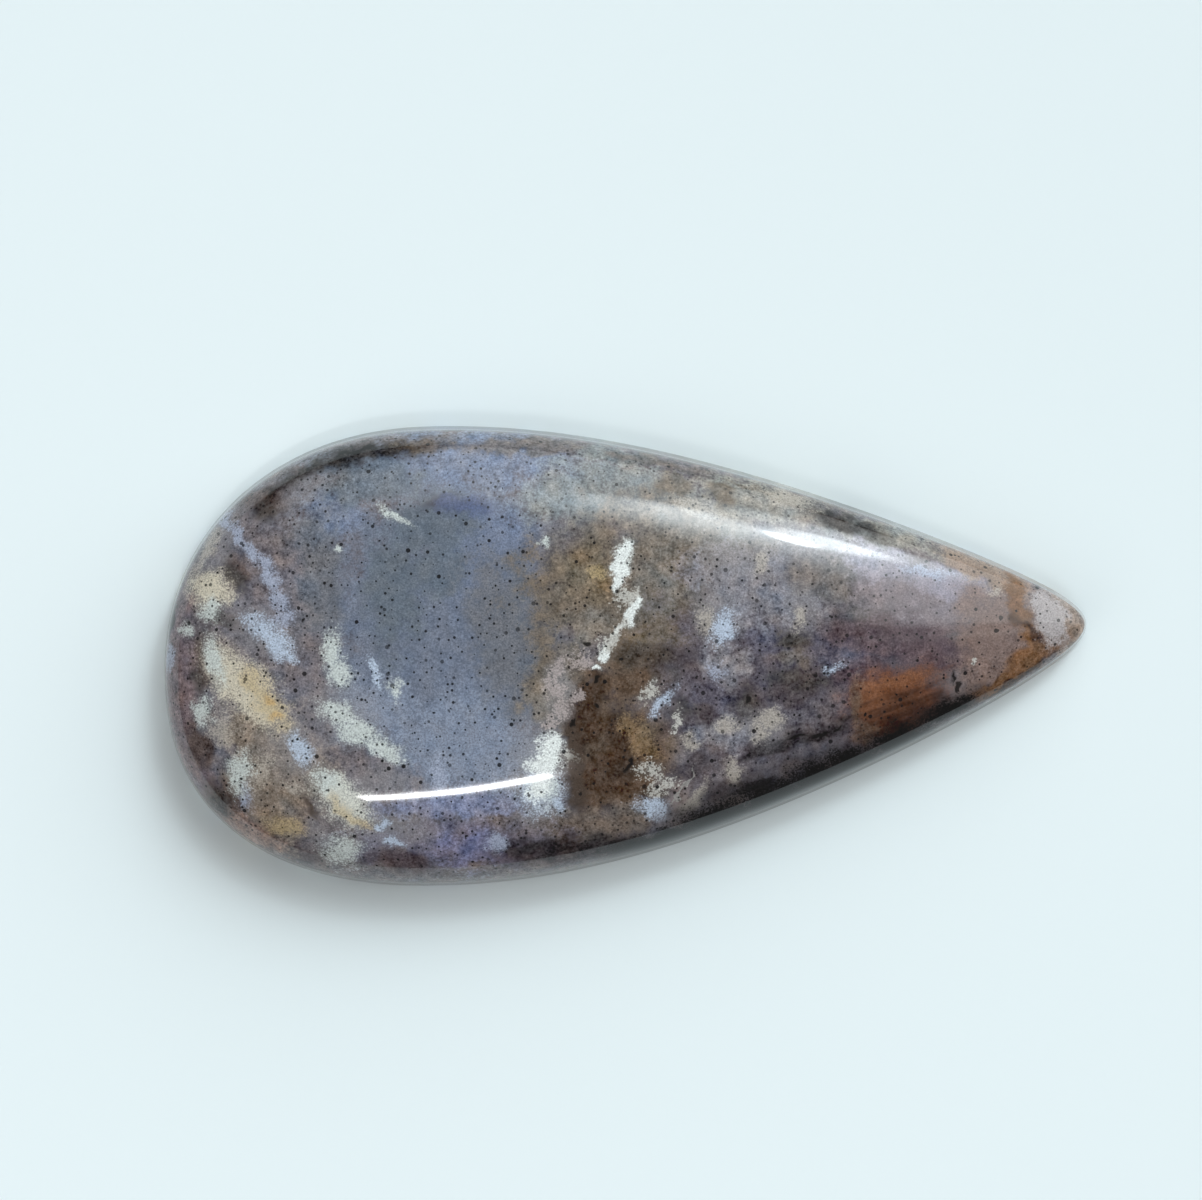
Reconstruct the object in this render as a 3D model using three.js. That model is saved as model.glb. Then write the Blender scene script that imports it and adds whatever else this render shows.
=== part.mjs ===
// A polished, pear-shaped jasper cabochon: one solid stone with a flat back, a narrow upright
// edge and a low, flat-topped dome. Millimetres, +Z up out of the dome, +X towards the point.
// The origin lies on the flat back, under the middle of the stone.

import * as THREE from "three";
import { mergeVertices } from "three/addons/utils/BufferGeometryUtils.js";

// Outline of the stone, seen from above.
const LENGTH = 50.0; // from the round end to the point
const WIDTH = 24.9; // across the belly, the widest place
const BELLY = 14.8; // the belly's distance from the round end
const ROUND_END_POWER = 2.22; // 2 would make the round end an ellipse, more makes it fuller
const FLANK_REACH = 23.3; // the flanks turn from curved to nearly straight over this length
const POINT_FULLNESS = 2.0; // how much the point is blunted, 0 being sharp
const ROUND_END_DROP = 0.89; // the hand-ground round end sits this far towards -Y
const POINT_LIFT = 0.86; // and the point sits this far towards +Y

// Profile of the stone, seen from the side.
const THICKNESS = 6.5; // from the back to the top of the dome
const EDGE_HEIGHT = 1.8; // the dome starts here, above the upright edge
const EDGE_DRAFT = 0.22; // the upright edge leans in by this much on its way up
const BACK_BEVEL = 0.4; // radius of the rounding where the edge meets the back
const CROSS_POWER = 2.7; // fullness of the dome across the stone, 2 being an ellipse
const CROWN_FLATNESS = 1.2; // over 1 flattens the crown and steepens the shoulder
const CROWN_FALL = 2 / CROSS_POWER; // the crown falls with the width, and rounds off at the point

// Facets.
const AROUND = 112; // around the outline
const DOME_RINGS = 28; // from the edge to the top of the dome
const BEVEL_RINGS = 3;

const HALF_WIDTH = WIDTH / 2;
const POINT = LENGTH - BELLY; // the point's distance from the belly
const DOME_HEIGHT = THICKNESS - EDGE_HEIGHT;

// Along the stone, x is measured from the belly: below 0 is the round end, above 0 the point.

function halfWidth(x) {
  if (x <= -BELLY || x >= POINT) return 0;
  if (x < 0) {
    const share = -x / BELLY;
    return HALF_WIDTH * (1 - share ** ROUND_END_POWER) ** (1 / ROUND_END_POWER);
  }
  // A hyperbola from the belly to the point, whose last stretch is blunted.
  const rise = (d) => Math.hypot(1, d / FLANK_REACH) - 1;
  const full = Math.hypot(HALF_WIDTH, POINT_FULLNESS);
  const flank = full - (full - POINT_FULLNESS) * (rise(x) / rise(POINT));
  return Math.sqrt(Math.max(flank ** 2 - POINT_FULLNESS ** 2, 0));
}

function middleLine(x) {
  return x < 0 ? -ROUND_END_DROP * (x / BELLY) ** 2 : POINT_LIFT * (x / POINT) ** 2;
}

// The outline at an angle that runs once around it, from the point over +Y to the round end.
function outline(angle) {
  const x = (POINT - BELLY) / 2 + (LENGTH / 2) * Math.cos(angle);
  const side = Math.sign(Math.sin(angle));
  return new THREE.Vector2(x, middleLine(x) + side * halfWidth(x));
}

// The outline's direction towards the outside.
function outward(angle) {
  const step = 0.002;
  const along = outline(angle + step).sub(outline(angle - step));
  return new THREE.Vector2(along.y, -along.x).normalize();
}

// The dome's height above its edge, over a place inside the outline.
function domeHeight(place) {
  const half = halfWidth(place.x);
  if (half === 0) return 0;
  const across = Math.min(Math.abs(place.y - middleLine(place.x)) / half, 1);
  const crown = Math.min(half / HALF_WIDTH, 1) ** CROWN_FALL;
  const swell = crown * (1 - across ** CROSS_POWER) ** (1 / CROSS_POWER);
  return DOME_HEIGHT * (1 - (1 - swell) ** CROWN_FLATNESS);
}

// Rings from the middle of the back, round the edge, to the top of the dome. inset is the
// distance inside the outline, share the part of the way from the dome's middle to its edge.
function stoneRings() {
  const rings = [{ share: 0, inset: 0, z: 0 }];
  for (let i = 0; i <= BEVEL_RINGS; i++) {
    const turn = (i / BEVEL_RINGS) * (Math.PI / 2);
    const inset = BACK_BEVEL * (1 - Math.sin(turn));
    rings.push({ share: 1, inset, z: BACK_BEVEL * (1 - Math.cos(turn)) });
  }
  for (let i = 0; i <= DOME_RINGS; i++) {
    const turn = (i / DOME_RINGS) * (Math.PI / 2);
    rings.push({ share: Math.cos(turn), inset: EDGE_DRAFT * Math.cos(turn) ** 4, dome: true });
  }
  return rings;
}

function stonePoint(ring, angle) {
  const place = outline(angle).multiplyScalar(ring.share);
  const z = ring.dome ? EDGE_HEIGHT + domeHeight(place) : ring.z;
  place.addScaledVector(outward(angle), -ring.inset);
  return new THREE.Vector3(place.x, place.y, z);
}

// A lathe turns the rings as a round stone, which gives the faces. Each vertex then moves to
// its place on the pear. Vertices run ring by ring along each of the lathe's meridians.
function cabochonGeometry() {
  const rings = stoneRings();
  const last = rings.length - 1;
  const profile = rings.map(
    (ring, i) => new THREE.Vector2(i === 0 || i === last ? 0 : 1, i),
  );
  const turned = new THREE.LatheGeometry(profile, AROUND);
  const position = turned.getAttribute("position");
  for (let i = 0; i < position.count; i++) {
    const meridian = Math.floor(i / rings.length) % AROUND;
    const angle = (meridian / AROUND) * 2 * Math.PI;
    const point = stonePoint(rings[i % rings.length], angle);
    position.setXYZ(i, point.x, point.y, point.z);
  }
  turned.deleteAttribute("normal");
  turned.deleteAttribute("uv");
  const stone = mergeVertices(turned, 1e-4);
  stone.computeBoundingBox();
  const middle = stone.boundingBox.getCenter(new THREE.Vector3());
  stone.translate(-middle.x, -middle.y, 0);
  stone.computeVertexNormals();
  return stone;
}

const polishedStone = new THREE.MeshStandardMaterial({
  color: 0x7a7577,
  roughness: 0.12,
  metalness: 0,
});

const cabochon = new THREE.Mesh(cabochonGeometry(), polishedStone);
cabochon.name = "cabochon";

const part = new THREE.Group();
part.add(cabochon);

export default part;
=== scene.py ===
# %% [markdown]
# # A polished jasper cabochon
#
# The real object is one stone, cut to a pear outline with a low dome and a flat back, and polished
# until it mirrors the room. Nearly all of its look is in two things: the way light slides over the
# smooth dome, and the colours inside the rock. This lesson first makes the stone's surface from a
# rule, then builds the rock's colours out of patches that noise frays.
#
# The imported CAD model gives the place and the overall sizes, so it is loaded first.

# %% Load the frame
import math

import bpy
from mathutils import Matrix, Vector


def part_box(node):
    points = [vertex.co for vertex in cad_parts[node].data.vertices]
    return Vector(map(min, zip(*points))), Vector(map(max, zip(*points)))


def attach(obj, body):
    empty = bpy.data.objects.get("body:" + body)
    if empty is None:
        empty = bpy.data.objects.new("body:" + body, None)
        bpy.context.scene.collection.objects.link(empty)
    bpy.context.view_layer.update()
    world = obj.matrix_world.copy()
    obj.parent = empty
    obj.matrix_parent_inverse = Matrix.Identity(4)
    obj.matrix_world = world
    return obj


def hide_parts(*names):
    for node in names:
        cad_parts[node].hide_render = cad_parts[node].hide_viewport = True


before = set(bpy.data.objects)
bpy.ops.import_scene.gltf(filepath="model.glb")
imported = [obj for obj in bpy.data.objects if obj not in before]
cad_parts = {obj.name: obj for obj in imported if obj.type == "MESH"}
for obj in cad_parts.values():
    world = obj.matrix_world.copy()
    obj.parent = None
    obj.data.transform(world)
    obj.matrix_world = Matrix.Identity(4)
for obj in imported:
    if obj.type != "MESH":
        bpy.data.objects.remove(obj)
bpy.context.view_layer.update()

# %% [markdown]
# ## Small helpers for node trees
#
# The stone's shape, its colours and its light are all arithmetic in node trees. Written out in
# full, each node takes four or five lines, so short helpers add one node, fill or link its inputs,
# and hand back its output. The same helpers serve Geometry Nodes and shader nodes, because both
# use the same Math and Vector Math nodes.


# %% Node helpers
def plug(tree, socket, value):
    """Links value into socket if it is a socket, and otherwise sets it."""
    if isinstance(value, bpy.types.NodeSocket):
        tree.links.new(value, socket)
    elif value is not None:
        socket.default_value = value


def calc(tree, operation, *values, clamp=False):
    """Adds a Math node and returns its result."""
    node = tree.nodes.new("ShaderNodeMath")
    node.operation = operation
    node.use_clamp = clamp
    for socket, value in zip(node.inputs, values):
        plug(tree, socket, value)
    return node.outputs[0]


def vcalc(tree, operation, *values):
    """Adds a Vector Math node and returns its result, a number for a length or a dot product."""
    node = tree.nodes.new("ShaderNodeVectorMath")
    node.operation = operation
    sockets = list(node.inputs)
    if operation == "SCALE":
        sockets = [node.inputs["Vector"], node.inputs["Scale"]]
    for socket, value in zip(sockets, values):
        plug(tree, socket, value)
    number = operation in {"LENGTH", "DISTANCE", "DOT_PRODUCT"}
    return node.outputs["Value" if number else "Vector"]


def ramp(tree, value, low, high, smooth=True):
    """0 below low, 1 above high, and a smooth or straight rise between."""
    node = tree.nodes.new("ShaderNodeMapRange")
    node.interpolation_type = "SMOOTHSTEP" if smooth else "LINEAR"
    plug(tree, node.inputs["Value"], value)
    plug(tree, node.inputs["From Min"], low)
    plug(tree, node.inputs["From Max"], high)
    return node.outputs["Result"]


def parts(tree, vector):
    """The X, Y and Z of a vector."""
    node = tree.nodes.new("ShaderNodeSeparateXYZ")
    plug(tree, node.inputs[0], vector)
    return node.outputs["X"], node.outputs["Y"], node.outputs["Z"]


def joined(tree, x=0.0, y=0.0, z=0.0):
    """A vector from its X, Y and Z."""
    node = tree.nodes.new("ShaderNodeCombineXYZ")
    for socket, value in zip(node.inputs, (x, y, z)):
        plug(tree, socket, value)
    return node.outputs[0]


# %% [markdown]
# ## The shape of the stone
#
# The outline is a rule in x, the distance from the belly, the widest place. Behind the belly it is
# a superellipse, which is an ellipse made a little fuller. Ahead of the belly each flank is a
# hyperbola, curved at the belly and nearly straight near the point, whose last stretch is blunted.
# A lapidary grinds by hand, so the middle line bends slightly at both ends.
#
# The dome's height over a place depends on how far across the stone it is. The profile is flat in
# the middle and steep in its last half millimetre, which is what gives the rolled, pale rim.
#
# The mesh could be typed vertex by vertex, sculpted, or turned on a lathe and stretched. A rule is
# a natural job for Geometry Nodes: a UV sphere brings the closed net of faces, its upper half
# becomes the dome, its lower half the upright edge, the small rounding below it and the flat back,
# and Set Position moves every vertex to its place. All sizes are inputs of the tree.

# %% Sizes of the stone, in metres
MM = 0.001
low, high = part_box("cabochon")
STONE_SIZES = {
    "Length": high.x - low.x,
    "Width": high.y - low.y,
    "Thickness": high.z - low.z,
    "Belly": 14.8 * MM,  # the belly's distance from the round end
    "Round End Power": 2.22,
    "Flank Reach": 23.3 * MM,  # the flanks turn from curved to straight over this length
    "Point Fullness": 2.0 * MM,
    "Round End Drop": 0.89 * MM,
    "Point Lift": 0.86 * MM,
    "Edge Height": 1.8 * MM,
    "Edge Draft": 0.22 * MM,  # the upright edge leans in by this much
    "Back Bevel": 0.4 * MM,  # radius of the rounding above the back
    "Cross Power": 2.7,
    "Crown Flatness": 1.2,
}
AROUND = 256  # faces around the outline
FROM_TOP_TO_BACK = 190  # rings of faces
WALL_END, BEVEL_END = 0.10, 0.25  # shares of the lower rings that make the edge and the bevel
print("stone", {name: round(value, 5) for name, value in STONE_SIZES.items()})


# %% The outline as nodes
def pick(tree, choice, value_0, value_1):
    """value_0 where choice is 0 and value_1 where it is 1."""
    change = calc(tree, "SUBTRACT", value_1, value_0)
    return calc(tree, "MULTIPLY_ADD", choice, change, value_0)


def half_width(tree, x, size):
    """Half the stone's width at x, measured from the belly."""
    half = calc(tree, "DIVIDE", size["Width"], 2)
    point = calc(tree, "SUBTRACT", size["Length"], size["Belly"])
    back = calc(tree, "DIVIDE", calc(tree, "MULTIPLY", x, -1), size["Belly"], clamp=True)
    back = calc(tree, "SUBTRACT", 1, calc(tree, "POWER", back, size["Round End Power"]))
    back = calc(tree, "POWER", back, calc(tree, "DIVIDE", 1, size["Round End Power"]))
    round_end = calc(tree, "MULTIPLY", half, back)

    def rise(distance):
        ratio = calc(tree, "DIVIDE", distance, size["Flank Reach"])
        square = calc(tree, "MULTIPLY_ADD", ratio, ratio, 1)
        return calc(tree, "SUBTRACT", calc(tree, "SQRT", square), 1)

    ahead = calc(tree, "MINIMUM", calc(tree, "MAXIMUM", x, 0), point)
    blunt = calc(tree, "MULTIPLY", size["Point Fullness"], size["Point Fullness"])
    full = calc(tree, "SQRT", calc(tree, "MULTIPLY_ADD", half, half, blunt))
    drop = calc(tree, "DIVIDE", rise(ahead), rise(point))
    drop = calc(tree, "MULTIPLY", calc(tree, "SUBTRACT", full, size["Point Fullness"]), drop)
    flank = calc(tree, "SUBTRACT", full, drop)
    flank = calc(tree, "SUBTRACT", calc(tree, "MULTIPLY", flank, flank), blunt)
    flank = calc(tree, "SQRT", calc(tree, "MAXIMUM", flank, 0))
    return pick(tree, calc(tree, "LESS_THAN", x, 0), flank, round_end)


def middle_line(tree, x, size):
    """How far the middle of the outline sits towards +Y at x."""
    point = calc(tree, "SUBTRACT", size["Length"], size["Belly"])
    back = calc(tree, "DIVIDE", x, size["Belly"])
    back = calc(tree, "MULTIPLY", calc(tree, "MULTIPLY", back, back), size["Round End Drop"])
    ahead = calc(tree, "DIVIDE", x, point)
    ahead = calc(tree, "MULTIPLY", calc(tree, "MULTIPLY", ahead, ahead), size["Point Lift"])
    return pick(tree, calc(tree, "LESS_THAN", x, 0), ahead, calc(tree, "MULTIPLY", back, -1))


def outline(tree, angle, size):
    """The outline's place at an angle, from the point over +Y to the round end, as a vector."""
    radius = calc(tree, "DIVIDE", size["Length"], 2)
    middle = calc(tree, "SUBTRACT", radius, size["Belly"])
    x = calc(tree, "MULTIPLY_ADD", calc(tree, "COSINE", angle), radius, middle)
    side = calc(tree, "SIGN", calc(tree, "SINE", angle))
    half = half_width(tree, x, size)
    return joined(tree, x, calc(tree, "MULTIPLY_ADD", side, half, middle_line(tree, x, size)))


# %% The dome as nodes
def dome_height(tree, place, size):
    """The dome's height above its edge, over a place inside the outline."""
    x, y, _ = parts(tree, place)
    half = half_width(tree, x, size)
    across = calc(tree, "ABSOLUTE", calc(tree, "SUBTRACT", y, middle_line(tree, x, size)))
    across = calc(tree, "DIVIDE", across, calc(tree, "MAXIMUM", half, 1e-9), clamp=True)
    across = calc(tree, "SUBTRACT", 1, calc(tree, "POWER", across, size["Cross Power"]))
    profile = calc(tree, "POWER", across, calc(tree, "DIVIDE", 1, size["Cross Power"]))
    widest = calc(tree, "DIVIDE", size["Width"], 2)
    fall = calc(tree, "DIVIDE", 2, size["Cross Power"])
    crown = calc(tree, "POWER", calc(tree, "DIVIDE", half, widest, clamp=True), fall)
    swell = calc(tree, "SUBTRACT", 1, calc(tree, "MULTIPLY", crown, profile), clamp=True)
    swell = calc(tree, "SUBTRACT", 1, calc(tree, "POWER", swell, size["Crown Flatness"]))
    height = calc(tree, "SUBTRACT", size["Thickness"], size["Edge Height"])
    return calc(tree, "MULTIPLY", swell, height)


# %% [markdown]
# The sphere's latitude tells each vertex which part of the stone it belongs to. Above the equator
# the rings shrink towards the top of the dome. Below it they go down the upright edge, turn the
# small rounding and run in over the back. The inset is measured along the outline's normal, which
# is found from two outline places a small angle apart.


# %% The geometry tree
def ring_measures(tree, latitude, size):
    """For a latitude: share of the outline, inset from it, height below the dome, is it the dome."""
    quarter = math.pi / 2
    up = calc(tree, "MAXIMUM", latitude, 0)
    down = calc(tree, "DIVIDE", calc(tree, "MULTIPLY", latitude, -1), quarter, clamp=True)
    wall = ramp(tree, down, 0.0, WALL_END, smooth=False)
    bevel = ramp(tree, down, WALL_END, BEVEL_END, smooth=False)
    back = ramp(tree, down, BEVEL_END, 1.0, smooth=False)
    inward = calc(tree, "SUBTRACT", 1, back)
    turn = calc(tree, "MULTIPLY", calc(tree, "SUBTRACT", 1, bevel), quarter)
    shrink = calc(tree, "COSINE", up)
    draft = calc(tree, "MULTIPLY", calc(tree, "POWER", shrink, 4), size["Edge Draft"])
    draft = calc(tree, "MULTIPLY", draft, calc(tree, "SUBTRACT", 1, wall))
    rounding = calc(tree, "SUBTRACT", 1, calc(tree, "SINE", turn))
    inset = calc(tree, "MULTIPLY_ADD", rounding, size["Back Bevel"], draft)
    upright = calc(tree, "SUBTRACT", size["Edge Height"], size["Back Bevel"])
    upright = calc(tree, "MULTIPLY", upright, calc(tree, "SUBTRACT", 1, wall))
    lift = calc(tree, "SUBTRACT", 1, calc(tree, "COSINE", turn))
    return {
        "share": calc(tree, "MULTIPLY", shrink, inward),
        "inset": calc(tree, "MULTIPLY", inset, inward),
        "height": calc(tree, "MULTIPLY_ADD", lift, size["Back Bevel"], upright),
        "dome": calc(tree, "GREATER_THAN", latitude, 1e-4),
    }


def stone_tree(material):
    """Builds the geometry node tree that makes the whole stone."""
    tree = bpy.data.node_groups.new("Cabochon from a rule", "GeometryNodeTree")
    tree.interface.new_socket("Geometry", in_out="OUTPUT", socket_type="NodeSocketGeometry")
    for name, value in STONE_SIZES.items():
        socket = tree.interface.new_socket(name, in_out="INPUT", socket_type="NodeSocketFloat")
        socket.default_value = value
    size = tree.nodes.new("NodeGroupInput").outputs

    sphere = tree.nodes.new("GeometryNodeMeshUVSphere")
    sphere.inputs["Segments"].default_value = AROUND
    sphere.inputs["Rings"].default_value = FROM_TOP_TO_BACK
    sphere.inputs["Radius"].default_value = 1.0
    x, y, z = parts(tree, tree.nodes.new("GeometryNodeInputPosition").outputs[0])
    angle = calc(tree, "ARCTAN2", y, x)
    upward = calc(tree, "MINIMUM", calc(tree, "MAXIMUM", z, -1), 1)
    ring = ring_measures(tree, calc(tree, "ARCSINE", upward), size)

    step = 0.002  # radians
    place = vcalc(tree, "SCALE", outline(tree, angle, size), ring["share"])
    after = outline(tree, calc(tree, "ADD", angle, step), size)
    before = outline(tree, calc(tree, "SUBTRACT", angle, step), size)
    along = vcalc(tree, "SUBTRACT", after, before)
    outward = vcalc(tree, "NORMALIZE", vcalc(tree, "CROSS_PRODUCT", along, (0, 0, 1)))
    inset = vcalc(tree, "SCALE", outward, calc(tree, "MULTIPLY", ring["inset"], -1))
    dome = calc(tree, "MULTIPLY", dome_height(tree, place, size), ring["dome"])
    height = joined(tree, z=calc(tree, "ADD", ring["height"], dome))
    place = vcalc(tree, "ADD", vcalc(tree, "ADD", place, inset), height)

    shaped = tree.nodes.new("GeometryNodeSetPosition")
    plug(tree, shaped.inputs["Geometry"], sphere.outputs["Mesh"])
    plug(tree, shaped.inputs["Position"], place)
    box = tree.nodes.new("GeometryNodeBoundBox")
    plug(tree, box.inputs["Geometry"], shaped.outputs[0])
    middle = vcalc(tree, "ADD", box.outputs["Min"], box.outputs["Max"])
    middle = vcalc(tree, "MULTIPLY", middle, (-0.5, -0.5, 0))
    centred = tree.nodes.new("GeometryNodeSetPosition")
    plug(tree, centred.inputs["Geometry"], shaped.outputs[0])
    plug(tree, centred.inputs["Offset"], middle)
    smooth = tree.nodes.new("GeometryNodeSetShadeSmooth")
    plug(tree, smooth.inputs["Geometry"], centred.outputs[0])
    real = tree.nodes.new("GeometryNodeRealizeInstances")
    plug(tree, real.inputs["Geometry"], smooth.outputs[0])
    coat = tree.nodes.new("GeometryNodeSetMaterial")
    plug(tree, coat.inputs["Geometry"], real.outputs[0])
    coat.inputs["Material"].default_value = material
    plug(tree, tree.nodes.new("NodeGroupOutput").inputs[0], coat.outputs[0])
    return tree


# %% [markdown]
# ## The rock's colours
# Along the rims a few lists also paint shade and dark reflections, over the rock's own dark colours.
#
# The real stone is a fine-grained quartz rock. Blue-grey, brown and mauve grounds flow into each
# other. On them lie pale clouds, dusty where mineral grains thin out and crisp where a vein ran,
# ochre and rust stains, and black specks finer than a pinhead.
#
# A photograph could be laid over the stone as an image, but it would be flat, would carry its own
# highlights, and would run out at the edge. Noise alone would give a stone, but not this one.
# Here every visible patch is given as an oval, in millimetres on the stone, and noise
# frays its edge. All patches of one mineral share one list, one colour and one kind of edge.
#
# The pattern reads Object coordinates, so it goes right through the stone as in the real rock, and
# the painted shade of the rims goes through with it.
# Below the dome it leans outwards and warps more with depth, so the edge carries the dome's colours
# down, and the back shows the same rock cut deeper.

# %% Colour helpers
def linear(*rgb):
    """A colour given as the eye sees it, 0 to 255, as the light that it reflects."""
    return [((c / 255 + 0.055) / 1.055) ** 2.4 if c > 10 else c / 255 / 12.92 for c in rgb] + [1]


def mix(tree, share, below, above):
    """above over below, by share."""
    node = tree.nodes.new("ShaderNodeMix")
    node.data_type = "RGBA"
    plug(tree, node.inputs["Factor"], share)
    plug(tree, node.inputs["A"], below)
    plug(tree, node.inputs["B"], above)
    return node.outputs["Result"]


def noise(tree, place, scale, detail, roughness, colour=False):
    """Fractal noise around 0.5 with the given number of features for each millimetre."""
    node = tree.nodes.new("ShaderNodeTexNoise")
    plug(tree, node.inputs["Vector"], place)
    node.inputs["Scale"].default_value = scale
    node.inputs["Detail"].default_value = detail
    node.inputs["Roughness"].default_value = roughness
    return node.outputs["Color" if colour else "Fac"]


SWING = 5.0  # the noise seldom leaves 0.3 to 0.7


def swing(tree, place, scale, detail, roughness):
    """Noise that swings around 0 and seldom passes -1 or 1."""
    value = noise(tree, place, scale, detail, roughness)
    return calc(tree, "MULTIPLY_ADD", value, SWING, -SWING / 2)


def turned(tree, place, degrees):
    """The place for a texture whose x axis is turned by this much."""
    node = tree.nodes.new("ShaderNodeVectorRotate")
    node.rotation_type = "Z_AXIS"
    plug(tree, node.inputs["Vector"], place)
    node.inputs["Angle"].default_value = math.radians(-degrees)
    return node.outputs[0]


BELOW = 1.2  # how far below 0 an oval's value goes on falling


def ovals(tree, place, patches, reach=1.5):
    """1 in the middle of a patch, falling evenly to 0 at reach times its size and on to -BELOW.

    A patch is x, y, half length, half height, turn in degrees, and perhaps how far it is faded.
    Each is a spherical gradient, moved, turned and stretched by the node's own mapping.
    """
    highest = None
    wide = reach * (1 + BELOW)
    for x, y, half_length, half_height, turn, *fade in patches:
        oval = tree.nodes.new("ShaderNodeTexGradient")
        oval.gradient_type = "SPHERICAL"
        plug(tree, oval.inputs["Vector"], place)
        mapping = oval.texture_mapping
        mapping.vector_type = "TEXTURE"
        mapping.translation = (x, y, fade[0] / (1 + BELOW) if fade else 0)
        mapping.rotation = (0, 0, math.radians(turn))
        mapping.scale = (half_length * wide, half_height * wide, 1)
        value = oval.outputs["Fac"]
        highest = value if highest is None else calc(tree, "MAXIMUM", highest, value)
    return calc(tree, "MULTIPLY_ADD", highest, 1 + BELOW, -BELOW)


# %% [markdown]
# ### Grounds
#
# Each ground is a broad, soft stain. The list goes from the lowest to the uppermost: a colour, how
# strongly it covers, and its ovals.

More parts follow.
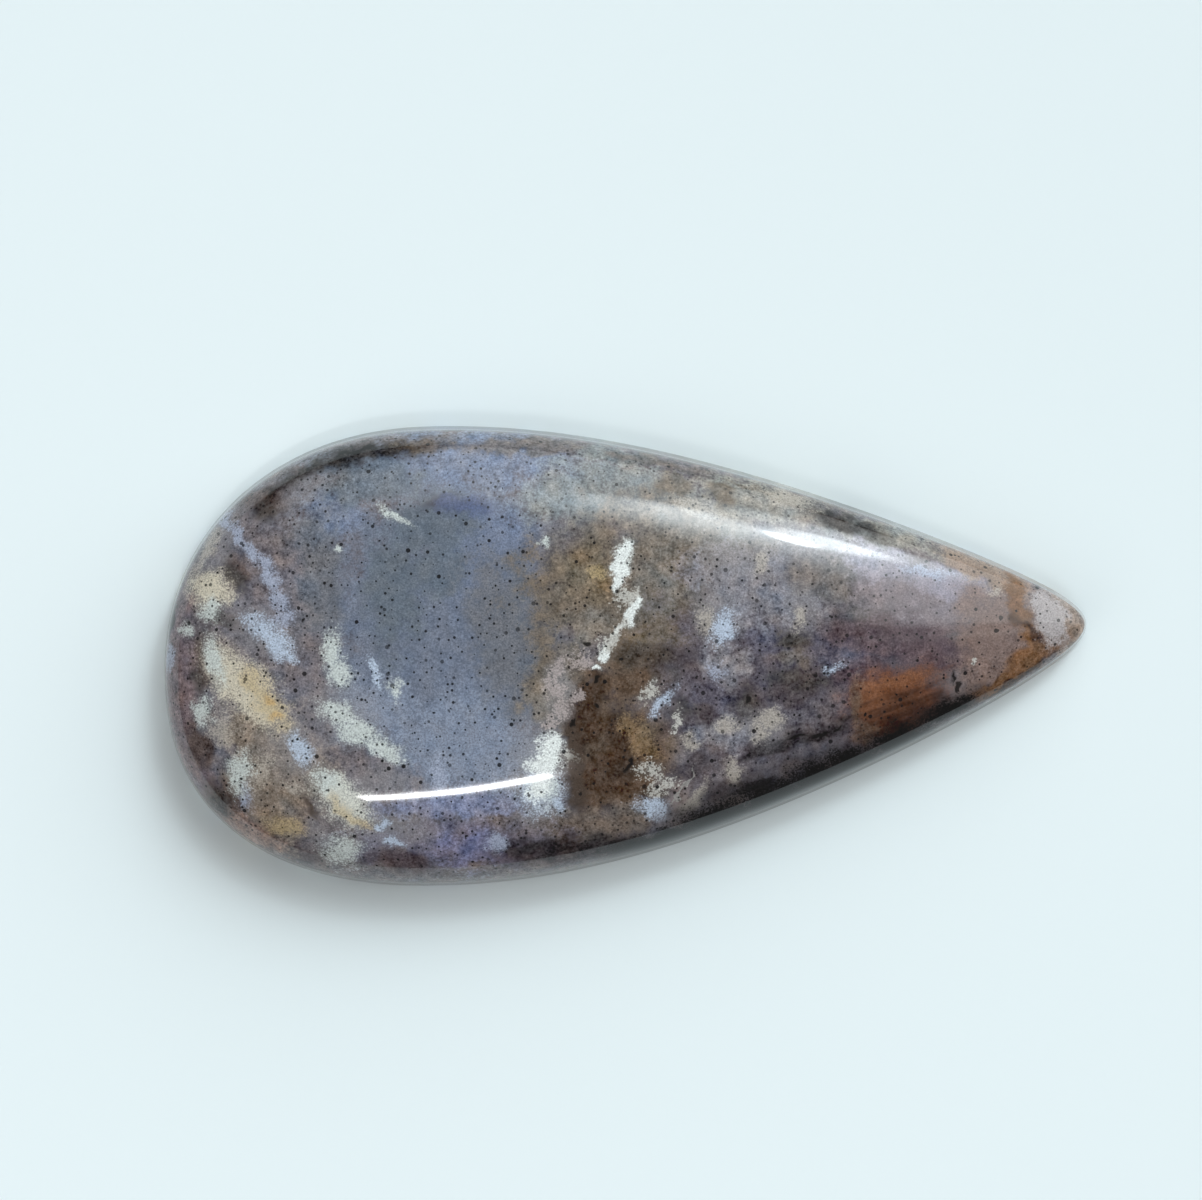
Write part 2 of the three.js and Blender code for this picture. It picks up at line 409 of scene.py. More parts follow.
# %% Grounds
BEDROCK = (112, 104, 106)
GROUNDS = [
    ("slate", (110, 117, 133), 1.0, [(-9.6, 1.4, 6.8, 9.0, 0)]),
    ("blue", (115, 125, 147), 0.85, [
        (-7.0, 5.4, 2.6, 2.8, 0), (-15.4, 7.9, 1.6, 1.0, 0, 0.2), (-7.4, 10.3, 4.8, 1.3, 0)]),
    ("pale blue", (129, 138, 156), 0.85, [(-8.7, -5.0, 3.8, 2.4, 0), (-12.8, -2.8, 1.6, 1.2, 0, 0.2)]),
    ("green grey", (97, 105, 114), 0.8, [
        (-12.3, 3.8, 1.3, 2.8, 0), (-10.2, 7.0, 2.2, 1.5, 0), (-10.0, 4.6, 1.4, 1.4, 0, 0.1),
        (-13.6, 9.6, 2.4, 1.2, 0), (-5.6, 3.4, 0.8, 2.0, 0, 0.4)]),
    ("grey", (106, 108, 115), 0.9, [(-5.9, 0.8, 1.8, 4.2, 15), (-16.7, 4.4, 1.5, 3.2, 0)]),
    ("upper haze", (128, 133, 133), 0.8, [
        (1.0, 8.9, 4.0, 0.7, -15), (-2.8, 8.2, 2.6, 1.2, 0), (-0.6, 10.6, 1.8, 0.5, -10)]),
    ("upper rim", (98, 89, 84), 0.85, [
        (-5.0, 11.1, 2.8, 0.4, 0), (2.6, 9.9, 3.2, 0.35, -15, 0.3), (8.4, 8.4, 3.2, 0.3, -15, 0.3)]),
    ("taupe", (110, 100, 90), 1.0, [
        (-1.8, 3.6, 3.1, 3.1, 0), (1.8, 0.8, 3.2, 3.0, 0), (3.4, 5.4, 4.0, 2.0, -15),
        (-3.8, -1.0, 1.3, 1.8, -30)]),
    ("light taupe", (125, 117, 109), 0.9, [
        (2.3, 3.8, 2.0, 1.4, 0, 0.1), (-3.7, -2.6, 1.2, 1.4, -30), (4.4, 6.4, 3.6, 0.9, -15),
        (-2.0, 1.4, 0.9, 0.9, 0, 0.1)]),
    ("ochre haze", (120, 105, 86), 0.7, [
        (-1.7, 4.2, 1.3, 1.2, 0), (0.5, 0.7, 0.9, 0.4, 45), (1.3, -4.8, 1.6, 1.1, 0)]),
    ("upper flank", (134, 131, 124), 0.9, [(6.8, 8.0, 3.2, 0.9, -15), (13.8, 5.9, 3.0, 0.6, -15)]),
    ("upper brown", (95, 82, 67), 0.75, [(2.8, 8.8, 0.9, 0.5, -15), (5.1, 8.3, 0.8, 0.4, -15)]),
    ("mauve", (91, 84, 91), 1.0, [
        (9.0, -1.5, 6.0, 4.8, 0), (5.2, -2.2, 3.2, 4.0, 0), (7.5, 1.0, 3.3, 2.0, 0)]),
    ("light grey", (127, 125, 132), 0.95, [
        (7.4, 3.4, 3.2, 1.8, -15), (5.2, -0.7, 1.0, 0.9, 0, 0.3), (5.0, -4.4, 1.3, 0.8, 0, 0.1)]),
    ("grey brown", (106, 98, 93), 0.8, [
        (11.2, 3.5, 1.7, 1.1, -15), (9.1, -0.5, 0.8, 0.4, 0), (12.8, 1.6, 1.2, 0.8, 0)]),
    ("blue mauve", (90, 88, 102), 0.7, [
        (7.6, 0.3, 1.2, 0.6, 0, 0.2), (12.0, -0.1, 1.5, 0.8, 0), (4.2, -2.6, 0.9, 0.9, 0)]),
    ("dusky", (70, 62, 65), 0.8, [
        (9.0, -2.1, 1.9, 0.7, 15), (6.5, -2.9, 1.0, 0.8, 0), (12.6, 0.9, 1.8, 0.5, -15, 0.1),
        (9.4, -4.6, 2.2, 0.5, 15), (4.0, -3.4, 0.6, 0.6, 0, 0.2), (3.4, -6.0, 1.2, 0.5, 30, 0.1),
        (5.2, -7.3, 1.4, 0.4, 15), (2.2, -0.5, 1.2, 0.8, 0, 0.2)]),
    ("slab", (92, 88, 95), 0.85, [
        (9.2, -3.6, 1.5, 0.5, 15), (9.5, -5.5, 1.4, 0.4, 15), (7.3, -6.3, 1.3, 0.6, 15)]),
    ("brown", (86, 69, 56), 1.0, [
        (-0.9, -5.4, 2.4, 3.2, 0), (-2.0, -3.0, 1.0, 2.2, -30), (0.2, -1.6, 1.2, 1.0, 0, 0.4),
        (0.3, -7.4, 1.3, 1.0, 0, 0.2)]),
    ("deep brown", (66, 48, 36), 0.75, [
        (-2.5, -4.0, 0.7, 1.6, -15), (-1.2, -6.4, 1.2, 1.0, 0), (-0.4, -4.6, 0.6, 1.0, 0),
        (-1.8, -2.3, 0.4, 0.5, 0, 0.1)]),
    ("dark olive", (72, 64, 58), 0.9, [
        (0.9, -0.1, 1.3, 0.6, 0), (-4.6, -9.8, 0.9, 0.5, 15), (9.0, 0.45, 0.8, 0.45, 0)]),
    ("low taupe", (108, 96, 88), 0.9, [(-2.9, -9.4, 2.6, 0.9, 0), (-0.4, -8.9, 1.6, 0.8, 15)]),
    ("low lavender", (128, 132, 158), 0.85, [(-9.2, -8.0, 4.0, 0.6, 0)]),
    ("low mauve", (108, 103, 120), 0.9, [(-9.4, -9.9, 4.4, 1.1, 0)]),
    ("low violet", (122, 123, 156), 0.85, [(-8.4, -10.3, 1.7, 0.8, 0)]),
    ("dark low", (78, 66, 70), 0.9, [
        (-12.2, -10.9, 1.3, 0.6, -15), (-17.6, -10.3, 1.2, 0.5, -30), (-4.0, -10.6, 2.6, 0.6, 0)]),
    ("left mauve", (112, 106, 111), 1.0, [
        (-20.3, 4.6, 2.4, 4.6, 15), (-17.2, -2.2, 1.2, 3.2, 0), (-14.0, -5.9, 2.6, 0.9, -15),
        (-21.6, -3.0, 2.0, 4.4, 15)]),
    ("left brown", (86, 72, 68), 0.85, [
        (-20.6, 4.8, 0.5, 1.0, 15, 0.3), (-21.0, 2.2, 1.0, 0.4, -15), (-22.9, 0.0, 0.6, 1.7, 0)]),
    ("low left taupe", (128, 115, 104), 1.0, [(-18.7, -6.4, 2.3, 2.8, -15), (-19.9, -3.9, 1.4, 1.0, 0)]),
    ("margin", (118, 103, 107), 1.0, [(-24.1, -1.5, 1.0, 5.5, 0), (-23.2, -5.8, 0.7, 2.0, 30)]),
    ("olive", (84, 70, 66), 0.9, [
        (-19.0, 8.4, 1.1, 0.6, 0), (-21.6, -7.5, 0.8, 1.0, 30), (-22.9, -4.5, 0.6, 1.0, 15, 0.1)]),
    ("pink low", (144, 118, 108), 0.8, [(-20.5, -9.0, 1.6, 0.5, -30)]),
    ("dusk", (88, 72, 77), 0.9, [
        (14.4, 0.7, 2.8, 1.2, 0), (17.0, -0.5, 1.4, 0.8, 0), (12.6, -1.4, 1.2, 0.7, 0)]),
    ("rose", (121, 111, 116), 1.0, [(16.4, 2.6, 3.4, 1.2, -15), (13.6, 3.2, 1.4, 1.2, 0)]),
    ("lavender", (141, 135, 147), 0.85, [
        (16.9, 3.4, 1.6, 0.8, -15), (13.8, 4.5, 2.0, 0.8, -15), (18.8, 3.2, 1.0, 0.5, -30, 0.2)]),
    ("tip rose", (120, 101, 95), 0.9, [(20.0, 0.6, 1.9, 2.4, 0), (19.3, -1.4, 1.4, 1.0, 15)]),
    ("tip tan", (143, 124, 110), 0.9, [(23.6, 1.0, 1.2, 1.6, 0), (19.4, 3.9, 2.2, 0.6, -30)]),
    ("tip brown", (112, 78, 49), 0.9, [
        (22.2, -0.6, 1.6, 0.5, 30), (20.3, -2.0, 1.6, 0.35, 30), (21.0, 1.9, 0.5, 1.3, 15),
        (21.7, 0.4, 0.9, 0.4, -45)]),
]
CALM = [(-10.2, 2.6, 5.4, 6.6, 0), (-8.4, -4.0, 3.4, 2.6, 0), (17.5, 2.0, 4.0, 2.6, -15),
        (14.8, -2.6, 2.6, 1.6, 15)]  # fields that are mottled less than the rest
print("grounds:", len(GROUNDS))

# %% [markdown]
# ### Minerals and painted shade
#
# Each mineral has a colour, an edge, how much each noise frays it, how strongly it covers, and its
# ovals. An edge is three numbers: how much of the cover is a smooth halo, and the two values
# between which the frayed rest fades in. The noises are named by what they look like in the rock:
# "clots" are about half a millimetre, "grains" a sixth, "powder" a tenth, and "bands" are streaks
# along the lower flank. Much fray from grains or powder turns an edge into scattered dust.

# %% Kinds of edge and fray
CLOUD = (0.6, -0.1, 0.8)
SOFT = (0.3, -0.08, 0.72)
FIRM = (0.15, 0.06, 0.55)
SHARP = (0.0, 0.24, 0.42)
HALO_START, HALO_END = -0.3, 0.6  # values of an oval between which its halo fades in
SMOKY = {"clots": 0.22, "powder": 0.10}
AIRY = {"clots": 0.09, "grains": 0.07, "powder": 0.26}
DUSTY = {"clots": 0.13, "grains": 0.18, "powder": 0.30}
FOAMY = {"clots": 0.16, "grains": 0.42, "powder": 0.24}
CRISP = {"clots": 0.12, "grains": 0.12, "powder": 0.12}
STREAKY = {"bands": 0.42, "clots": 0.06, "powder": 0.10}

# %% Dark and warm stains, and painted shade along the rims
STAINS_AND_SHADE = [
    ("brown stain", (58, 44, 34), SOFT, DUSTY, 0.7, [
        (-1.8, -2.0, 0.4, 0.8, -15, 0.2), (-2.2, -3.1, 0.6, 0.4, 30), (-2.9, -3.9, 0.4, 0.7, 0),
        (-0.1, -6.1, 0.6, 0.5, 0), (-0.4, -3.9, 0.4, 0.9, 0, 0.2), (-2.9, -7.1, 0.4, 1.0, 0, 0.2)]),
    ("amber", (138, 114, 84), SOFT, DUSTY, 0.5, [
        (0.7, -4.6, 0.6, 0.9, 15, 0.1), (0.0, -3.8, 0.3, 0.7, 0, 0.2), (1.0, -5.4, 0.5, 0.4, 0, 0.2),
        (-1.0, 3.8, 0.7, 0.35, 0, 0.2)]),
    ("olive dusk", (66, 62, 60), SOFT, DUSTY, 0.75, [
        (6.35, -2.85, 0.45, 0.6, 0), (8.9, 0.55, 0.6, 0.35, 0), (9.8, -1.9, 1.0, 0.3, 15),
        (8.4, -1.5, 0.9, 0.4, 0, 0.2), (-10.0, 8.1, 0.5, 0.28, 0), (-20.75, 4.6, 0.3, 0.9, 30, 0.1),
        (-21.4, 2.3, 0.7, 0.25, -15, 0.2), (-22.9, -1.1, 0.22, 0.5, 0), (-22.0, -7.4, 0.5, 0.8, 30),
        (-18.9, 7.9, 0.8, 0.4, 0, 0.2), (2.9, -3.2, 0.6, 0.5, 0, 0.3)]),
    # This row paints shade and a dark reflection inside the steep upper rim.
    ("rim shade", (38, 33, 31), SOFT, SMOKY, 0.95, [
        (-18.5, 9.0, 1.3, 0.3, 45, 0.4), (-16.8, 10.0, 1.5, 0.4, 30), (-14.5, 10.8, 1.6, 0.45, 15),
        (-12.2, 11.1, 1.7, 0.45, 0), (11.6, 6.7, 2.1, 0.42, -23), (12.8, 6.3, 1.2, 0.3, -23)]),
    ("rim brown", (92, 78, 64), SOFT, SMOKY, 0.7, [
        (-10.4, 11.3, 1.6, 0.35, 0), (7.0, 8.6, 1.6, 0.14, -15, 0.2)]),
    ("deep blue", (80, 90, 122), SOFT, SMOKY, 0.85, [(-8.6, 8.0, 1.4, 0.4, 0)]),
    ("rust", (98, 58, 38), SOFT, SMOKY, 0.95, [
        (14.3, -2.4, 2.2, 0.9, 15), (12.9, -3.2, 0.7, 1.4, 0), (15.3, -2.6, 1.3, 0.9, 15),
        (14.0, -3.9, 1.6, 0.8, 15)]),
    ("rust light", (132, 88, 62), CLOUD, STREAKY, 0.75, [
        (14.4, -2.1, 1.7, 0.4, 15, 0.1), (13.2, -2.8, 0.9, 1.0, 15, 0.1),
        (14.2, -3.2, 1.6, 0.5, 15, 0.3)]),
    ("rust edge", (108, 90, 76), SOFT, DUSTY, 0.7, [
        (12.3, -3.3, 0.3, 1.3, 0), (12.8, -4.6, 0.6, 0.5, 0)]),
    ("umber", (46, 24, 15), SOFT, STREAKY, 0.85, [
        (16.0, -3.4, 1.7, 0.6, 15), (14.6, -3.3, 2.4, 0.9, 15, 0.45), (14.6, -4.3, 2.0, 0.4, 15),
        (21.6, 0.6, 0.9, 0.2, -45, 0.2), (20.4, -2.25, 1.5, 0.12, 30, 0.1)]),
    # This row is dark rock with painted shade and a painted dark reflection along the lower flank and the
    # low rim.
    ("dark flank and shade", (34, 29, 31), SOFT, STREAKY, 0.85, [
        (9.4, -4.75, 2.2, 0.4, 15), (7.4, -5.4, 1.2, 0.2, 15, 0.3), (6.6, -7.4, 1.4, 0.3, 15, 0.3),
        (-3.0, -10.3, 4.5, 0.6, 0, 0.2)]),
    ("tip umber", (62, 40, 26), SOFT, CRISP, 0.7, [
        (20.8, 1.4, 0.3, 0.5, 15, 0.3), (21.9, -1.35, 0.4, 0.16, 15, 0.2),
        (23.0, -0.75, 0.35, 0.1, 30, 0.2), (19.85, -1.95, 0.12, 0.25, 0, 0.2)]),
]
print("stains:", len(STAINS_AND_SHADE))

# %% Pale minerals
PALE = [
    ("haze", (142, 140, 144), CLOUD, SMOKY, 0.5, [
        (-19.5, 1.6, 1.6, 0.9, -30), (-15.0, -2.9, 1.6, 1.2, -30, 0.1), (-17.8, -4.6, 1.2, 1.6, 30),
        (-21.6, 6.2, 0.7, 1.5, -30), (-5.0, -6.2, 1.2, 2.2, 0), (6.0, 4.7, 1.5, 0.8, -15),
        (4.8, 1.9, 1.0, 1.2, 0), (7.2, -4.2, 0.9, 0.8, 0), (9.6, 2.2, 0.7, 1.0, 0),
        (-3.5, -1.9, 0.6, 1.6, 0), (-13.2, -6.6, 1.6, 0.7, 0), (-12.4, -9.2, 1.6, 0.8, 0),
        (-16.8, 9.0, 1.2, 0.5, 30), (-16.6, -9.3, 0.9, 0.5, -30, 0.1)]),
    ("cream", (204, 195, 176), SOFT, AIRY, 0.9, [
        (-21.1, -0.8, 1.6, 0.9, -60), (-19.9, -1.8, 1.5, 1.0, -45), (-19.1, -2.7, 0.9, 0.8, -45),
        (-22.1, 3.9, 1.0, 0.8, 0)]),
    ("cream white", (206, 206, 197), SOFT, AIRY, 0.95, [
        (-15.2, -7.4, 1.4, 0.8, -45), (-15.7, -6.7, 0.6, 0.6, 0)]),
    ("pale ochre", (182, 160, 118), SOFT, AIRY, 0.6, [
        (-19.0, -2.3, 1.2, 0.6, -60), (-19.9, -1.3, 0.9, 0.4, -60, 0.3),
        (-14.7, -8.4, 1.1, 0.2, -30, 0.1), (-18.4, -8.8, 1.0, 0.5, -15, 0.4),
        (-15.3, -7.9, 0.8, 0.3, -45, 0.4), (-1.4, 4.35, 0.4, 0.3, 0, 0.4)]),
    ("orange dot", (184, 148, 92), SOFT, CRISP, 0.6, [
        (-18.95, -2.05, 0.3, 0.24, 0), (-18.7, -3.0, 0.3, 0.3, 0, 0.3)]),
    ("dust", (172, 164, 154), SOFT, DUSTY, 0.7, [
        (7.55, -3.75, 0.6, 0.36, 0), (7.1, -4.5, 0.4, 0.5, 0, 0.2), (4.3, 1.5, 0.4, 0.6, 0, 0.1),
        (7.2, 4.5, 0.3, 0.6, -15, 0.3), (5.5, -6.5, 0.3, 0.6, 15), (-17.8, -6.7, 0.4, 0.25, 0, 0.4),
        (-19.6, -5.9, 0.9, 0.4, 60, 0.4), (-22.2, 6.0, 0.25, 1.3, -30, 0.3), (9.3, 1.6, 0.3, 0.5, 0, 0.3),
        (3.3, -4.8, 0.4, 0.4, 0, 0.3), (5.2, -4.0, 0.7, 0.3, 0, 0.4), (3.5, -7.8, 1.0, 0.3, 45, 0.4),
        (-21.6, -3.6, 0.6, 0.8, 0, 0.3), (8.7, 8.0, 1.4, 0.4, -15, 0.2), (19.9, 2.7, 0.4, 0.3, 0, 0.4),
        (4.0, 7.6, 1.2, 0.3, -15, 0.3)]),
    ("lavender streak", (156, 163, 182), SOFT, DUSTY, 0.85, [
        (-21.2, 7.6, 0.6, 0.35, -45, 0.1), (-20.5, 6.7, 0.6, 0.22, -45), (-19.8, 5.9, 0.6, 0.25, -45),
        (-19.1, 5.1, 0.6, 0.28, -60), (-18.75, 4.3, 0.6, 0.35, -75), (-18.4, 3.3, 0.8, 0.38, -75),
        (-18.2, 2.2, 0.6, 0.4, 0, 0.3), (-20.5, -7.3, 0.4, 0.6, 0, 0.3), (-10.1, -6.3, 0.3, 0.8, 15, 0.2),
        (-7.2, -10.1, 0.45, 0.4, 0, 0.1), (4.8, -1.2, 0.4, 0.5, 0, 0.6), (16.2, 3.9, 1.2, 0.25, -15, 0.4),
        (-24.5, 0.4, 0.2, 0.6, 0, 0.3)]),
    ("ice", (178, 190, 208), SOFT, DUSTY, 0.88, [
        (-19.2, 1.7, 0.9, 0.4, -30, 0.1), (-18.4, 0.9, 0.8, 0.45, -45), (-17.8, 0.2, 0.4, 0.3, -45, 0.4),
        (-17.4, -4.6, 0.4, 0.8, 30, 0.1), (-13.2, -0.8, 0.2, 0.65, 15, 0.2), (5.2, 1.15, 0.75, 0.42, 60),
        (1.8, -2.7, 0.8, 0.26, 45, 0.3), (1.1, -8.3, 0.7, 0.4, -15, 0.1), (-12.5, -9.8, 0.4, 0.2, 0, 0.2),
        (-13.2, -8.9, 0.3, 0.25, 0, 0.2), (-4.7, -7.3, 1.0, 0.9, 0), (-3.8, -8.1, 0.3, 0.5, 0, 0.1),
        (11.1, -1.1, 0.4, 0.2, 15, 0.5)]),
    ("green white", (194, 200, 197), SOFT, DUSTY, 0.9, [
        (-15.6, 0.4, 0.45, 0.8, 0, 0.1), (-15.2, -0.7, 0.5, 0.7, 15, 0.1), (-15.3, -2.9, 0.8, 0.5, -30),
        (-14.3, -3.9, 1.2, 0.45, -30), (-13.0, -4.8, 1.0, 0.4, -30), (-12.25, -1.6, 0.5, 0.24, -60, 0.4),
        (-4.3, -7.0, 0.5, 1.0, 0, 0.4), (-22.0, 2.8, 0.5, 0.5, 0), (-21.9, 0.1, 0.4, 1.0, 15),
        (-22.6, -2.7, 0.45, 0.6, 0), (-16.1, -6.5, 0.6, 0.5, -45, 0.1), (-20.6, -5.9, 0.5, 0.9, -15, 0.1),
        (-12.1, 7.5, 0.9, 0.24, -30, 0.4), (-15.3, -10.2, 0.9, 0.7, 0, 0.4),
        (-23.4, 1.8, 0.3, 0.35, 0, 0.4), (-15.1, 5.75, 0.3, 0.18, 30, 0.4),
        (-4.1, 6.0, 0.24, 0.18, 0, 0.4)]),
    ("rose filigree", (172, 160, 158), FIRM, FOAMY, 0.65, [
        (-2.3, -0.4, 0.6, 0.4, -30, 0.2), (-3.6, -1.0, 0.3, 0.6, -30), (-3.75, -1.9, 0.3, 0.6, 15, 0.2),
        (-2.7, -2.4, 0.35, 0.25, 45, 0.1), (-4.0, -3.6, 0.6, 0.25, 30, 0.2),
        (-3.6, -2.9, 0.25, 0.5, 0, 0.3)]),
]
print("pale minerals:", len(PALE))

# %% White veins, foam, the pale point, and the black lower flank with its painted shade
VEINS = [
    ("vein white", (226, 230, 228), FIRM, CRISP, 0.95, [
        (-0.1, 4.7, 0.95, 0.40, 75), (-0.5, 4.7, 0.35, 0.3, 0, 0.1), (0.1, 5.4, 0.35, 0.24, 60),
        (-0.25, 3.7, 0.3, 0.4, 0, 0.2), (0.25, 1.95, 0.5, 0.25, 50), (0.6, 2.5, 0.35, 0.3, 30, 0.1),
        (-1.1, 0.05, 0.2, 0.4, 0), (-1.5, -0.8, 0.28, 0.18, 15, 0.1), (-0.5, 1.15, 0.5, 0.14, 50, 0.3),
        (-4.1, -4.9, 0.6, 0.6, 15), (-4.45, -5.85, 0.9, 0.75, 0), (-4.8, -7.0, 0.6, 0.9, -15, 0.3)]),
    ("foam", (192, 190, 184), FIRM, FOAMY, 0.75, [
        (-0.85, 0.65, 0.6, 0.26, 50), (-0.3, 1.4, 0.5, 0.22, 50), (0.1, 2.95, 0.5, 0.35, 15, 0.2),
        (-3.1, -5.4, 0.4, 0.35, 0, 0.2), (1.2, -6.4, 0.6, 0.4, -15, 0.4),
        (2.0, -6.9, 0.5, 0.3, -15, 0.4), (1.3, -2.0, 0.5, 0.3, 45, 0.4), (1.4, -7.4, 0.5, 0.3, 0, 0.4),
        (2.6, -3.8, 0.14, 0.5, -15, 0.3), (18.75, -1.0, 0.18, 0.14, 0, 0.2)]),
    ("needle", (160, 158, 154), SHARP, CRISP, 0.6, [(2.85, -7.3, 1.1, 0.06, 60)]),
    ("tip pale", (161, 155, 156), FIRM, SMOKY, 0.9, [
        (22.9, 1.1, 0.8, 1.4, 15), (22.4, 1.8, 0.5, 0.8, 0)]),
    ("crevice", (74, 62, 54), SOFT, CRISP, 0.8, [
        (-2.75, -6.6, 0.35, 1.6, 0), (-2.95, -4.5, 0.35, 0.7, 0), (-16.85, -7.9, 0.16, 0.6, 30, 0.2)]),
]
BLACK_AND_SHADE = [
    # The first row is partly the black rock of the lower flank and partly painted shade and a painted
    # dark reflection there.
    ("night", (8, 6, 6), SOFT, DUSTY, 1.0, [
        (17.0, -3.6, 1.8, 0.55, 30), (14.6, -5.0, 2.0, 0.7, 15), (12.0, -6.1, 2.0, 0.9, 15),
        (10.0, -6.9, 2.0, 1.0, 15), (7.6, -8.0, 2.4, 1.1, 15), (4.6, -9.0, 2.4, 1.0, 15),
        (1.8, -10.1, 2.6, 0.6, 15), (18.0, -2.9, 0.6, 0.35, 15)]),
    ("night fleck", (14, 11, 10), FIRM, CRISP, 0.92, [
        (17.75, -2.1, 0.18, 0.26, 0), (17.45, -1.65, 0.10, 0.2, 0), (-14.2, 11.0, 1.0, 0.10, 15, 0.1),
        (-1.6, -1.4, 0.2, 0.13, 30), (-1.75, -2.85, 0.15, 0.14, 0), (-2.85, -3.8, 0.14, 0.3, 0, 0.1),
        (0.05, -6.05, 0.14, 0.28, -15), (-24.3, 2.2, 0.15, 0.8, -15, 0.3), (-1.95, 0.3, 0.2, 0.09, 0),
        (8.9, -4.85, 0.6, 0.08, 15, 0.1), (10.2, -4.5, 0.3, 0.12, 15), (11.0, -4.35, 0.3, 0.08, 15),
        (9.9, -1.35, 0.2, 0.09, 15), (-16.95, 2.0, 0.11, 0.09, 0), (-13.1, 6.35, 0.09, 0.08, 0),
        (6.4, -2.7, 0.14, 0.25, 0, 0.2)]),
]
print("patches:", sum(len(row[-1]) for row in GROUNDS + STAINS_AND_SHADE + PALE + VEINS + BLACK_AND_SHADE))

# %% [markdown]
# ### Black specks
#
# The specks are scattered by a Voronoi texture, which gives each small cell of rock one grain of
# random size and darkness. A few larger ones are listed with the patches above. The group is
# used twice, for fine and for larger grains.

# %% Speck group
SPECK_SMALLEST = 0.5  # share of the full radius
SPECK_CORE = 0.7  # share of a speck's radius inside its soft edge
SPECK_FAINTEST = 0.7


def speck_group():
    """A node group that puts out a mask of grains, for a place in millimetres."""
    tree = bpy.data.node_groups.new("Grains", "ShaderNodeTree")
    for name, kind in [("Place", "NodeSocketVector"), ("Per Millimetre", "NodeSocketFloat"),
                       ("Radius", "NodeSocketFloat"), ("Share", "NodeSocketFloat")]:
        tree.interface.new_socket(name, in_out="INPUT", socket_type=kind)
    tree.interface.new_socket("Mask", in_out="OUTPUT", socket_type="NodeSocketFloat")
    given = tree.nodes.new("NodeGroupInput").outputs
    cells = tree.nodes.new("ShaderNodeTexVoronoi")
    plug(tree, cells.inputs["Vector"], given["Place"])
    plug(tree, cells.inputs["Scale"], given["Per Millimetre"])
    dice = parts(tree, cells.outputs["Color"])
    there = calc(tree, "LESS_THAN", dice[0], given["Share"])
    size = calc(tree, "MULTIPLY_ADD", dice[1], 1 - SPECK_SMALLEST, SPECK_SMALLEST)
    size = calc(tree, "MULTIPLY", size, given["Radius"])
    size = calc(tree, "MULTIPLY", size, given["Per Millimetre"])
    core = calc(tree, "MULTIPLY", size, SPECK_CORE)
    grain = calc(tree, "SUBTRACT", 1, ramp(tree, cells.outputs["Distance"], core, size))
    strength = calc(tree, "MULTIPLY_ADD", dice[2], 1 - SPECK_FAINTEST, SPECK_FAINTEST)
    grain = calc(tree, "MULTIPLY", grain, strength)
    plug(tree, tree.nodes.new("NodeGroupOutput").inputs[0], calc(tree, "MULTIPLY", grain, there))
    return tree


def specks(tree, group, place, per_millimetre, radius, share):
    """Adds the speck group with its own values and returns its mask."""
    node = tree.nodes.new("ShaderNodeGroup")
    node.node_tree = group
    plug(tree, node.inputs["Place"], place)
    plug(tree, node.inputs["Per Millimetre"], per_millimetre)
    plug(tree, node.inputs["Radius"], radius)
    plug(tree, node.inputs["Share"], share)
    return node.outputs["Mask"]


# %% [markdown]
# ### Putting the rock together
#
# The grounds come first, and the dark stains and the painted shade along the rims lie on them. A
# mottle then lightens, darkens and tints what is there, partly in upright streaks, "columns", and
# much less on the calm fields than elsewhere. The pale minerals, the veins and the black, partly
# painted shade, go over it, and powder and specks cover all.
#
# The finish goes last. The dome and the edge are polished, so their roughness is low. The back is
# only lapped flat, so it is duller.

# %% Place in the rock
EDGE_LINE = 1.8  # mm, the markings lean outwards below this
LEAN = 0.07  # share by which they spread for each mm of depth
WARP = 1.3  # mm, how far noise moves the patches' outlines
WARP_NOISE = (1.0, 2, 0.5)  # features for each mm, detail and roughness


def rock_place(tree):
    """The place in the rock in millimetres, then flattened for the patches, and the height."""
    coordinates = tree.nodes.new("ShaderNodeTexCoord")
    solid = vcalc(tree, "SCALE", coordinates.outputs["Object"], 1 / MM)
    height = parts(tree, solid)[2]
    depth = calc(tree, "MAXIMUM", calc(tree, "SUBTRACT", EDGE_LINE, height), 0)
    fray = vcalc(tree, "SUBTRACT", noise(tree, solid, *WARP_NOISE, colour=True), (0.5, 0.5, 0.5))
    fray = vcalc(tree, "SCALE", fray, calc(tree, "MULTIPLY_ADD", depth, WARP, WARP))
    flat = vcalc(tree, "SCALE", solid, calc(tree, "MULTIPLY_ADD", depth, -LEAN, 1.0))
    flat = vcalc(tree, "ADD", flat, fray)
    return solid, vcalc(tree, "MULTIPLY", flat, (1, 1, 0)), height


# %% The noises
NOISES = {  # features for each mm, detail and roughness
    "clots": (1.8, 2, 0.65),
    "grains": (6.0, 1, 0.65),
    "columns": (1.9, 2, 0.65),
    "powder": (11, 1, 0.5),
    "tint": (0.9, 1, 0.6),
    "bands": (1.6, 2, 0.55),
    "cloud": (0.6, 1, 0.6),
}
COLUMNS_STRETCH = (1, 0.3, 1)  # streaks along Y
BANDS_TURN, BANDS_STRETCH = 18, (0.22, 1.3, 1)  # streaks that rise by 18 degrees along X


def rock_noises(tree, solid):
    """Every noise by its name."""
    places = {
        "columns": vcalc(tree, "MULTIPLY", solid, COLUMNS_STRETCH),
        "bands": vcalc(tree, "MULTIPLY", turned(tree, solid, BANDS_TURN), BANDS_STRETCH),
    }
    return {kind: swing(tree, places.get(kind, solid), *values) for kind, values in NOISES.items()}


def blended(tree, noises, amounts, start=0.0):
    """The start with each named noise added by its amount."""
    for kind, amount in amounts.items():
        start = calc(tree, "MULTIPLY_ADD", noises[kind], amount, start)
    return start


# %% Painting
GROUND_REACH = 1.7
GROUND_FADE = (0.05, 0.6)  # values between which a ground fades in
GROUND_FRAY = {"cloud": 0.18, "clots": 0.10, "grains": 0.08}


